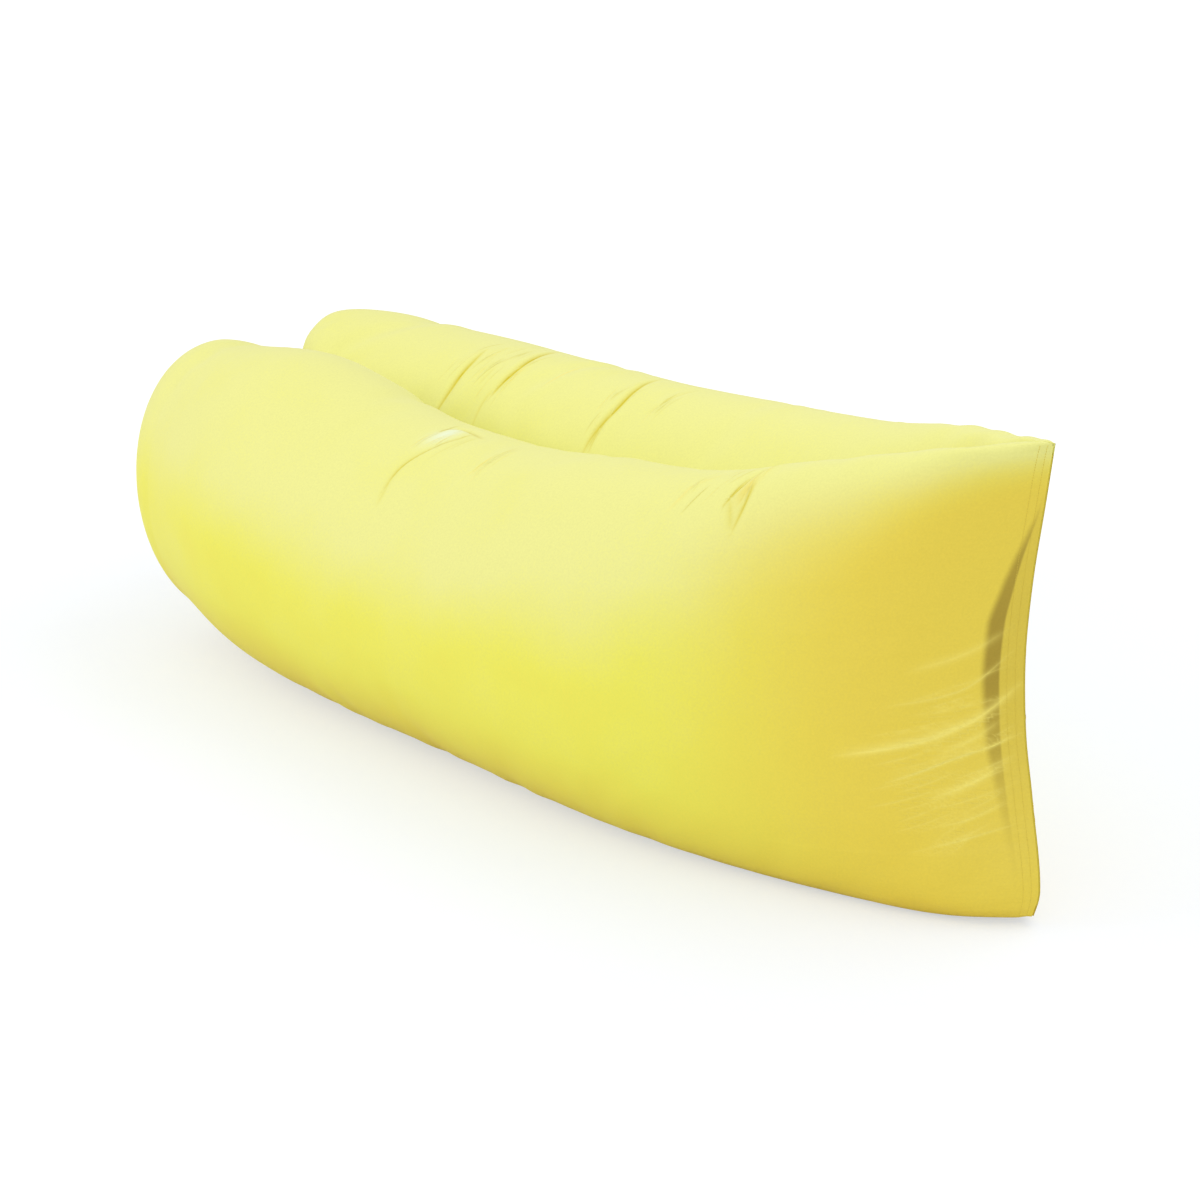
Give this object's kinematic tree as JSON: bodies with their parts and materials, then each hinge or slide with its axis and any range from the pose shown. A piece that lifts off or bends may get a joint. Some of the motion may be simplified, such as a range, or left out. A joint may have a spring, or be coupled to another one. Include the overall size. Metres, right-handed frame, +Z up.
{
  "type": "inflatable air lounger",
  "caption": "Inflatable fabric lounger: paired air tubes sewn shut at the head, with round foot lobes and a rolled mouth buckled into a loop.",
  "frame": {"origin": "on the floor, under the middle of the whole object's length and width", "axes": "+X from the foot end with the buckled loop towards the sewn head end, +Y towards the sleeve with the pocket, +Z up"},
  "size_m": [2.0898, 0.8389, 0.66],
  "materials": {
    "sleeve_fabric": "thin coated ripstop, satin",
    "liner_film": "clear film",
    "seam_tape": "woven tape",
    "strip_plastic": "extruded strip",
    "webbing": "woven webbing",
    "buckle_plastic": "moulded acetal"
  },
  "bodies": {
    "root": {"near_sleeve": "sleeve_fabric", "far_sleeve": "sleeve_fabric", "near_air_liner": "liner_film", "far_air_liner": "liner_film", "head_seam_tape": "seam_tape", "centre_join_tape": "seam_tape", "mouth_roll": "sleeve_fabric", "outer_stiffener_strip": "strip_plastic", "inner_stiffener_strip": "strip_plastic", "upper_webbing": "webbing", "lower_webbing": "webbing", "buckle_socket": "buckle_plastic", "side_pocket": "sleeve_fabric", "pocket_hem": "seam_tape"},
    "plug": {"buckle_plug": "buckle_plastic"},
    "near_arm": {"near_plug_arm": "buckle_plastic"},
    "far_arm": {"far_plug_arm": "buckle_plastic"}
  },
  "joints": [
    {"name": "plug_slide", "type": "slide", "parent": "root", "child": "plug", "axis": [0, 0, 1], "range_m": [0, 0.03], "deforming": ["near_plug_arm", "far_plug_arm", "upper_webbing"]},
    {"name": "near_arm_squeeze", "type": "hinge", "parent": "plug", "child": "near_arm", "pos_m": [-1.03943, -0.009, 0.2978], "axis": [1, 0, 0], "range_deg": [0, 8], "stiffness_Nm_per_rad": 1},
    {"name": "far_arm_squeeze", "type": "hinge", "parent": "plug", "child": "far_arm", "pos_m": [-1.03943, 0.009, 0.2978], "axis": [-1, 0, 0], "range_deg": [0, 8], "stiffness_Nm_per_rad": 1}
  ]
}
